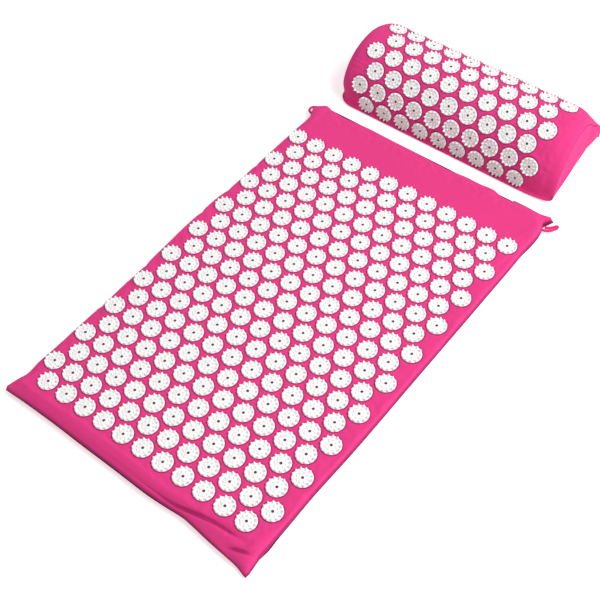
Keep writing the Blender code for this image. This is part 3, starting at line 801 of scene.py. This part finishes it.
def disc_piece(name, places, body):
    """All the discs of one cover, at their places"""
    shape, faces, slots = disc_shape()
    points = []
    all_faces = []
    for number, place in enumerate(places):
        matrix = np.array(place @ Matrix.Rotation(DISC_TURN * number, 4, "Z"))
        points.append(shape @ matrix[:3, :3].T + matrix[:3, 3])
        offset = number * len(shape)
        all_faces += [tuple(corner + offset for corner in face) for face in faces]
    mesh = make_mesh(name, np.concatenate(points), all_faces, PLASTIC, PAINTED_SHADE_WELL)
    mesh.polygons.foreach_set("material_index", slots * len(places))
    mesh.set_sharp_from_angle(angle=SHARP_ANGLE)
    made = link(name, mesh)
    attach(made, body)


def row_places(count):
    """Places across a cover of a row's discs"""
    return [(index - (count - 1) / 2) * DISC_PITCH for index in range(count)]


def mat_discs():
    places = []
    for row in range(MAT_ROWS):
        for x in row_places(MAT_ROW_DISCS + row % 2):
            y = MAT_FIRST_ROW + row * ROW_PITCH
            places.append(Matrix.Translation((x, y, CLOTH_TOP)))
    disc_piece("mat_discs", places, "mat")


# Pillow, in its own frame: y from its middle line, z from the floor. A table's -1 is its left
# end and 1 its right end.

PILLOW_RADII = (PILLOW_DEPTH / 2, PILLOW_TOP - PILLOW_WAIST)
PILLOW_ROW_STEP = ROW_PITCH / (sum(PILLOW_RADII) / 2)
PILLOW_ZIP_ANGLE = pi - asin(ZIP_SLIT / 2 / PILLOW_RADII[1])
PILLOW_MIDDLE = 0.03

# Its section: the front seam, the rounded corners at the floor, and the steps along it
FRONT_TUCK = -0.0066
FRONT_SEAM = 0.0022
FRONT_TURN = ((0.006, 0.0), (0.0022, 0.0004))
FOOT_STEPS = 8
ARCH_STEPS = 160
BACK_LEAN = 0.0003
BACK_CORNER = 0.0045
CORNER_STEPS = 6
SECTION_STEP = 0.0032
LOWER_STEP = SECTION_STEP * 1.4
LENGTH_STEP = 0.0034
END_STATIONS = (0, 0.0006, 0.0016, 0.0032, 0.0056, 0.0088)
END_MARGIN = 0.012

# Its ends: how far they bulge and lean, and how the section is rounded and drawn in near them
END_BULGE = 0.0022
END_SAG = 0.001
SAG_HEIGHT_RAMP = (0.002, 0.04)
SAG_PLACE_RAMP = (-0.01, 0.06)
END_LEAN = ((-0.09, 0.0112), (-0.06, 0.0088), (-0.03, 0.006), (0.0, 0.0024),
            (0.03, -0.0006), (0.052, -0.003), (0.074, 0.0))
END_LEAN_RUN = 0.045
END_ROUND = {-1: 0.025, 1: 0.044}
END_TUCK_SHARE = 0.1
END_TOP_SHARE = {-1: 0.165, 1: 0.25}
BACK_DRAW_RAMP = (0.022, 0.05)
LOW_CORNER_SHARE = {-1: 0.09, 1: -0.04}
LOW_CORNER_HEIGHT = 0.032
END_RINGS = 9

# Its cloth: what is held, how the rest swells, and the fine form
PILLOW_SWELL = {"pressure": 1.6, "slack": 0.004, "cap": 0.0016}
END_HELD = 0.7
END_HELD_RUN = 0.005
HELD_LEAST = 0.04
DISC_REACH = 0.01
OFF_FLOOR_RAMP = (0.0024, 0.006)
ZIP_SIDE_SHARE = 0.42
ZIP_SIDE_HEIGHT = 0.026
FLOOR_HEIGHT = 0.001
PILLOW_EDGE_RAMP = (0.004, 0.012)
PILLOW_FINER = 2

# Folds by the pillow's ends, in place along it and way round its section: start, end, half
# width and depth
PILLOW_FOLDS = (((-0.168, 0.078), (-0.15, 0.077), 0.0016, 0.0007),
                ((-0.17, 0.07), (-0.146, 0.0715), 0.0015, 0.0008),
                ((-0.17, 0.062), (-0.152, 0.064), 0.0016, 0.0006),
                ((0.17, 0.045), (0.152, 0.05), 0.0018, 0.0005),
                ((0.168, 0.12), (0.148, 0.116), 0.0018, 0.0005))

# Its panels: the piece, the node that it replaces, and whether its grid's faces are turned over
PILLOW_PANELS = (("pillow_cover_top", "pillow_top_panel", True),
                 ("pillow_cover_base", "pillow_base_panel", True),
                 ("pillow_cover_end_left", "pillow_end_left", False),
                 ("pillow_cover_end_right", "pillow_end_right", True))


def pillow_seat(angle):
    """A point of the pillow's section and the direction square to it"""
    across, up = PILLOW_RADII
    point = Vector((-across * cos(angle), PILLOW_WAIST + up * sin(angle)))
    normal = Vector((-cos(angle) / across, sin(angle) / up)).normalized()
    return point, normal


def even_line(points, step):
    """The same line with its points a step apart"""
    points = np.array(points, float)
    runs = runs_along(points)
    places = np.linspace(0, runs[-1], max(2, round(runs[-1] / step) + 1))
    return np.stack([np.interp(places, runs, points[:, axis]) for axis in (0, 1)], axis=-1)


def upper_line():
    """Section of the curved panel: from the front seam up and over to the zip"""
    rise = PILLOW_WAIST - FRONT_SEAM
    foot = []
    for step in range(FOOT_STEPS + 1):
        turn = pi / 2 * step / FOOT_STEPS
        foot.append((-PILLOW_RADII[0] + FRONT_TUCK * (1 - sin(turn)),
                     FRONT_SEAM + rise * (1 - cos(turn))))
    over = [tuple(pillow_seat(PILLOW_ZIP_ANGLE * step / ARCH_STEPS)[0])
            for step in range(1, ARCH_STEPS + 1)]
    return even_line(foot + over, SECTION_STEP)


def lower_line():
    """Section of the base panel: from the zip down the back and along the floor to the front"""
    back = pillow_seat(PILLOW_ZIP_ANGLE)[0].x
    line = [(back, PILLOW_WAIST - ZIP_SLIT / 2), (back + BACK_LEAN, BACK_CORNER)]
    for step in range(1, CORNER_STEPS + 1):
        turn = pi / 2 * step / CORNER_STEPS
        line.append((back - BACK_CORNER * (1 - cos(turn)), BACK_CORNER * (1 - sin(turn))))
    front = -PILLOW_RADII[0] + FRONT_TUCK
    line += [(front + way_in, height) for way_in, height in FRONT_TURN] + [(front, FRONT_SEAM)]
    return even_line(line, LOWER_STEP)


def draw_in(line, x):
    """A section of the pillow, drawn in towards its middle near an end"""
    side = 1 if x > 0 else -1
    near = np.clip(1 - (PILLOW_HALF - abs(x)) / END_ROUND[side], 0, 1)
    drop = 1 - sqrt(max(0.0, 1 - near ** 2))
    low = 1 - smooth_ramp(line[:, 1], 0, LOW_CORNER_HEIGHT)
    top = END_TOP_SHARE[side]
    front = line[:, 0] < 0
    corner = np.where(front, LOW_CORNER_SHARE[side], 0.0)
    tuck = np.where(front, END_TUCK_SHARE, top * smooth_ramp(line[:, 1], *BACK_DRAW_RAMP))
    y = line[:, 0] * (1 - drop * (tuck + corner * low))
    z = PILLOW_MIDDLE + (line[:, 1] - PILLOW_MIDDLE) * (1 - drop * top)
    return y, z


def pillow_stations():
    """Places along the pillow of its sections, close together near both ends"""
    rim = np.array(END_STATIONS)
    length = 2 * PILLOW_HALF
    steps = round((length - 2 * END_MARGIN) / LENGTH_STEP)
    inner = np.linspace(END_MARGIN, length - END_MARGIN, steps + 1)
    return np.concatenate([rim, inner, length - rim[::-1]]) - PILLOW_HALF


def pillow_disc_places():
    """Places of the pillow's discs, each square to the flat that it holds"""
    places = []
    along = Vector((1, 0, 0))
    for row in range(PILLOW_ROWS):
        point, normal = pillow_seat(PILLOW_FIRST_ANGLE + row * PILLOW_ROW_STEP)
        up = Vector((0, normal.x, normal.y))
        turn = Matrix((along, up.cross(along), up)).transposed().to_4x4()
        for x in row_places(PILLOW_ROW_DISCS + row % 2):
            place = Matrix.Translation((PILLOW_X + x, PILLOW_Y + point.x, point.y))
            places.append(place @ turn)
    return places


def near_discs(points, places):
    """For each point: the way to the nearest disc's rim, the height over it, the disc's axis"""
    nearest = np.full(len(points), 1.0)
    height = np.zeros(len(points))
    axes = np.zeros((len(points), 3))
    for place in places:
        axis = np.array(place.to_3x3().col[2])
        offset = points - np.array(place.translation)
        up = offset @ axis
        off = lengths(offset - up[:, None] * axis) - DISC_DIAMETER / 2
        closer = (off < nearest) & (np.abs(up) < DISC_REACH)
        nearest[closer] = off[closer]
        height[closer] = up[closer]
        axes[closer] = axis
    return nearest, height, axes


def under_discs(off, points, width):
    """1 for points under a disc, falling to 0 at a width from its rim and towards the floor"""
    return (1 - smooth_ramp(off, 0, width)) * smooth_ramp(points[:, 2], *OFF_FLOOR_RAMP)


def finish_pillow_top(grid, places):
    """The curved panel's fine form and painted shade: flat under each disc, standing up between
    them
    """
    points = flat(grid)
    off, height, axes = near_discs(points, places)
    under = under_discs(off, points, DENT_WIDTH)
    normals = grid_normals(grid)
    middle = normals[len(grid) // 2, grid.shape[1] // 2]
    normals = flat(normals * np.sign(middle[2]))
    inner = smooth_ramp(PILLOW_HALF - np.abs(points[:, 0] - PILLOW_X), *PILLOW_EDGE_RAMP)
    inner *= smooth_ramp(points[:, 2], *PILLOW_EDGE_RAMP)
    way = np.broadcast_to(runs_along(grid[len(grid) // 2]), grid.shape[:2]).reshape(-1)
    raised = BETWEEN_DISCS * smooth_ramp(off, 0, DENT_WIDTH) * inner
    raised += ripple(points, *PILLOW_WRINKLE) * inner
    raised -= fold_depth(points[:, 0] - PILLOW_X, way, PILLOW_FOLDS)
    fine = points + normals * (raised * (1 - under))[:, None] - axes * (height * under)[:, None]
    # Painted shade round each disc and along the end seams
    ends = np.minimum(lengths(grid - grid[:1]), lengths(grid - grid[-1:])).reshape(-1)
    shade = np.maximum(closeness(off), END_SHADE * closeness(ends))
    return fine.reshape(grid.shape), shade


def end_grid(side, outline):
    """The end panel as a grid: rings from its seam to its middle, closed on themselves"""
    rings = []
    closed = np.concatenate([outline, outline[:1]])
    middle = np.array([closed[:, 1].mean(), PILLOW_MIDDLE])
    low = 1 - smooth_ramp(closed[:, 2:], *SAG_HEIGHT_RAMP)
    low = low * (1 - smooth_ramp(closed[:, 1:2], *SAG_PLACE_RAMP))
    for step in range(END_RINGS + 1):
        share = step / END_RINGS
        out = (END_BULGE + END_SAG * low * (1 - share)) * (1 - (1 - share) ** 2)
        place = middle + (closed[:, 1:] - middle) * (1 - share)
        seat = closed[:, :1] + (closed[:, :1].mean() - closed[:, :1]) * share
        rings.append(np.concatenate([seat + side * out, place], axis=1))
    return np.stack(rings)


def pillow_grids():
    """Grids of the curved panel, the base panel and both end panels"""
    grids = []
    for line in (upper_line(), lower_line()):
        rows = []
        for x in pillow_stations():
            y, z = draw_in(line, x)
            lean = smooth_ramp(x, PILLOW_HALF - END_LEAN_RUN, PILLOW_HALF)
            rows.append(np.stack([x + smooth_line(END_LEAN, y) * lean, y, z], axis=-1))
        grids.append(np.stack(rows))
    for side, row in ((-1, 0), (1, -1)):
        grids.append(end_grid(side, np.concatenate([grids[0][row], grids[1][row][:-1]])))
    return [grid + (PILLOW_X, PILLOW_Y, 0) for grid in grids]


def pillow_cloth(points, faces, places):
    """The cover's points set down on the flats of the discs and swollen between them"""
    off, height, axes = near_discs(points, places)
    under = under_discs(off, points, LOOSE_BY_DISC)
    points = points - axes * (height * under)[:, None]
    beside_zip = ((points[:, 1] > PILLOW_Y + PILLOW_DEPTH * ZIP_SIDE_SHARE)
                  & (points[:, 2] < ZIP_SIDE_HEIGHT))
    at_end = np.abs(points[:, 0] - PILLOW_X) > PILLOW_HALF - END_HELD_RUN
    held = np.where(beside_zip | (points[:, 2] < FLOOR_HEIGHT), 1.0, 0.0)
    held = np.maximum(np.maximum(under, held), END_HELD * at_end)
    held = np.clip(held + HELD_LEAST, 0, 1)
    return above_floor(swell("pillow_cloth", points, faces, held, **PILLOW_SWELL))


def pillow_cover():
    grids = pillow_grids()
    offsets = np.cumsum([0] + [grid.shape[0] * grid.shape[1] for grid in grids])
    points, index = welded(flat(*grids))
    faces = []
    for grid, offset, (_, _, flip) in zip(grids, offsets, PILLOW_PANELS):
        faces += grid_faces(*grid.shape[:2], int(offset), flip)
    faces = mapped(faces, index)
    places = pillow_disc_places()
    points = pillow_cloth(points, faces, places)
    foam = shrunk(points, faces, FOAM_DEPTH)
    foam[:, 2] = np.maximum(foam[:, 2], CLOTH)
    foam_piece("pillow_foam", foam, faces, "pillow", "pillow_foam_core")
    done = []
    parts = np.split(points[index], offsets[1:-1])
    for (name, node, flip), grid, part in zip(PILLOW_PANELS, grids, parts):
        steps = [[PILLOW_FINER] * (count - 1) for count in grid.shape[:2]]
        grid = refine_both(part.reshape(grid.shape), *steps)
        shade = np.zeros(grid.shape[:2])
        if name == "pillow_cover_top":
            grid, shade = finish_pillow_top(grid, places)
        elif name != "pillow_cover_base":
            # Painted shade along the end panel's seam
            shade = END_SHADE * closeness(lengths(grid - grid[:1]))
        grid = above_floor(grid)
        cloth_piece(name, grid, flip, shade, "pillow", [node])
        done.append(grid)
    disc_piece("pillow_discs", places, "pillow")
    lines = (done[0].transpose(1, 0, 2), done[1][:, ::-1].transpose(1, 0, 2))
    zip_stitches("pillow_zip_stitches", lines, PILLOW_ZIP_HALF, "pillow")


# Hanging loops: three strands twisted round the cord's middle line

LOOP_ROUTES = {
    "left": ((-0.1915, 0.301), (-0.1965, 0.2995), (-0.2022, 0.3), (-0.2066, 0.3035),
             (-0.2076, 0.3088), (-0.2046, 0.313), (-0.1995, 0.3136), (-0.1958, 0.3104),
             (-0.1935, 0.307)),
    "right": ((0.1905, 0.2992), (0.1945, 0.3008), (0.1984, 0.3034), (0.2019, 0.3076),
              (0.2046, 0.3122), (0.2056, 0.3154), (0.2046, 0.3178), (0.2024, 0.3164),
              (0.2, 0.3124), (0.1966, 0.308), (0.1928, 0.3048))}
LOOP_DROP = 0.0035
LOOP_RISE = 0.002
LOOP_FINER = 8
STRANDS = 3
STRAND = 0.001
STRAND_LAY = 0.0085


def wire_curve(name, radius, lines, material, smoothness=2):
    """A curve with a round wire along each line of points"""
    curve = bpy.data.curves.new(name, "CURVE")
    curve.dimensions = "3D"
    curve.bevel_depth = radius
    curve.bevel_resolution = smoothness
    curve.use_fill_caps = True
    for line in lines:
        spline = curve.splines.new("POLY")
        spline.points.add(len(line) - 1)
        places = np.concatenate([line, np.ones((len(line), 1))], axis=1)
        spline.points.foreach_set("co", places.ravel())
    curve.materials.append(material)
    return curve


def cord_loop(side):
    corners = np.array(LOOP_ROUTES[side])
    drop = np.abs(np.linspace(-1, 1, len(corners))) ** 2
    heights = SEAM - LOOP_DROP + LOOP_RISE * drop
    route = np.concatenate([corners, heights[:, None]], axis=1)[:, None, :]
    route = refine(route, [LOOP_FINER] * (len(route) - 1))[:, 0]
    ahead = units(np.gradient(route, axis=0))
    beside = np.cross(ahead, (0, 0, 1))
    above = np.cross(beside, ahead)
    ways = runs_along(route)
    lines = []
    for strand in range(STRANDS):
        turn = 2 * pi * (ways / STRAND_LAY + strand / STRANDS)
        out = beside * np.cos(turn)[:, None] + above * np.sin(turn)[:, None]
        lines.append(route + STRAND * out)
    made = link("loop_" + side, wire_curve("loop_" + side, STRAND, lines, COTTON))
    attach(made, "mat")
    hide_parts("mat_loop_" + side)


# Zips

COIL_PITCH = 0.0014
COIL_STEPS = 8
COIL_WIRE = 0.00028
STITCH_PITCH = 0.003
STITCH_LENGTH = 0.0023
STITCH_WIDTH = 0.00024
STITCH_SEAT = 0.0022
STITCH_SIDES = 6

# A stitch's rings: share of its length, share of its width, and height over the cloth in widths
STITCH_RINGS = ((0.0, 0.4, -0.5), (0.25, 1.0, 0.35), (0.75, 1.0, 0.35), (1.0, 0.4, -0.5))


def zip_stitches(name, grids, half_run, body):
    """Rows of stitches beside a zip, on each grid whose last row of points is the zip's edge"""
    points, faces = [], []
    for grid in grids:
        ways = lengths(np.diff(grid[::-1], axis=0)).cumsum(axis=0).mean(axis=1)
        at = len(grid) - 2 - int(np.searchsorted(ways, STITCH_SEAT))
        row, out = grid[at], grid_normals(grid)[at]
        out = out * np.sign(out[:, 1:2])
        middle = row[:, 0].mean()
        for x in np.arange(middle - half_run, middle + half_run, STITCH_PITCH):
            seats = ((x, row), (x + STITCH_LENGTH, row), (x + STITCH_LENGTH / 2, out))
            start, end, up = [
                np.array([np.interp(place, row[:, 0], line[:, axis]) for axis in range(3)])
                for place, line in seats]
            add_stitch(points, faces, start, end, up)
    made = link(name, make_mesh(name, np.array(points), faces, THREAD))
    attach(made, body)


def add_stitch(points, faces, start, end, out):
    """One stitch: a thread that comes up out of the cloth and goes down again"""
    first = len(points)
    side = units(np.cross(end - start, out))
    for share, width, lift in STITCH_RINGS:
        centre = start + (end - start) * share + out * lift * STITCH_WIDTH
        for corner in range(STITCH_SIDES):
            turn = 2 * pi * corner / STITCH_SIDES
            offset = (side * cos(turn) + out * sin(turn)) * STITCH_WIDTH * width
            points.append(tuple(centre + offset))
    faces += ring_faces(first, STITCH_SIDES, len(STITCH_RINGS))
    faces.append(tuple(range(first, first + STITCH_SIDES))[::-1])
    faces.append(tuple(range(len(points) - STITCH_SIDES, len(points))))


def zip_coil(node):
    """A nylon coil wound along the chain, in place of the bead that stands for it"""
    low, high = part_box(node)
    centre = (low + high) / 2
    turns = int((high.x - low.x) / COIL_PITCH)
    steps = np.arange(turns * COIL_STEPS + 1)
    turn = 2 * pi * steps / COIL_STEPS
    x = low.x + COIL_WIRE + (high.x - low.x - 2 * COIL_WIRE) * steps / steps[-1]
    y = centre.y + ((high.y - low.y) / 2 - COIL_WIRE) * np.cos(turn)
    z = centre.z + ((high.z - low.z) / 2 - COIL_WIRE) * np.sin(turn)
    curve = wire_curve(node, COIL_WIRE, [np.stack([x, y, z], axis=1)], NYLON, smoothness=1)
    made = link(node + "_wound", curve)
    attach(made, "mat" if node.startswith("mat") else "pillow")
    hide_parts(node)


def zip_looks(prefix):
    """Finish for the zip's own solids"""
    finishes = {"tape": TAPE, "coil": NYLON, "stop": NICKEL, "slider": NICKEL, "pull": NICKEL}
    for name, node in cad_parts.items():
        if name.startswith(prefix):
            for part, material in finishes.items():
                if part in name:
                    node.data.materials.clear()
                    node.data.materials.append(material)


# Floor, light and camera

FLOOR_HALF = 6
FLOOR_GAP = 0.0004
FLOOR_WHITE = (0.92, 0.92, 0.92)
FLOOR_GLOW = 0.5
SKY = 0.46
LAMP_PLACE = (1.9, 0.65, 2.3)
LAMP_TARGET = (0, 0.1, 0)
LAMP_SIZE = 1.9
LAMP_POWER = 75


def white_floor():
    """A white floor that keeps a soft shadow and shows white wherever it is seen or mirrored"""
    material, tree, shader = new_material("white_floor", FLOOR_WHITE, roughness=0.9)
    set_inputs(shader, {"Specular IOR Level": 0.0})
    glow = tree.nodes.new("ShaderNodeEmission")
    strength = add_math(tree, "MULTIPLY", seen_directly(tree), FLOOR_GLOW)
    tree.links.new(strength, glow.inputs["Strength"])
    both = tree.nodes.new("ShaderNodeAddShader")
    tree.links.new(shader.outputs["BSDF"], both.inputs[0])
    tree.links.new(glow.outputs["Emission"], both.inputs[1])
    tree.links.new(both.outputs["Shader"], tree.nodes["Material Output"].inputs["Surface"])
    corners = np.array([(-1, -1, 0), (1, -1, 0), (1, 1, 0), (-1, 1, 0)]) * FLOOR_HALF
    made = link("floor", make_mesh("floor", corners, [(0, 1, 2, 3)], material))
    made.location.z = -FLOOR_GAP


def key_lamp():
    lamp = bpy.data.lights.new("key", "AREA")
    lamp.shape = "DISK"
    lamp.size = LAMP_SIZE
    lamp.energy = LAMP_POWER
    made = link("key", lamp)
    made.location = LAMP_PLACE
    aim = Vector(LAMP_TARGET) - Vector(LAMP_PLACE)
    made.rotation_euler = aim.to_track_quat("-Z", "Y").to_euler()


def studio():
    white_floor()
    key_lamp()
    world = bpy.data.worlds.new("studio")
    bpy.context.scene.world = world
    world.use_nodes = True
    tree = world.node_tree
    sky = tree.nodes["Background"]
    set_inputs(sky, {"Color": (1, 1, 1, 1)})
    strength = add_math(tree, "MAXIMUM", seen_directly(tree), SKY)
    tree.links.new(strength, sky.inputs["Strength"])
    bpy.context.scene.view_settings.view_transform = "Standard"


def photo_camera():
    data = bpy.data.cameras.new("camera")
    data.sensor_width = CAMERA_SENSOR
    data.lens = CAMERA_LENS
    camera = link("camera", data)
    camera.location = CAMERA_PLACE
    camera.rotation_euler = CAMERA_TURN
    bpy.context.scene.camera = camera


mat_cover()
mat_discs()
pillow_cover()
cord_loop("left")
cord_loop("right")
for cover in ("mat", "pillow"):
    zip_coil(cover + "_zip_coil_upper")
    zip_coil(cover + "_zip_coil_lower")
    zip_looks(cover + "_zip")
studio()
photo_camera()
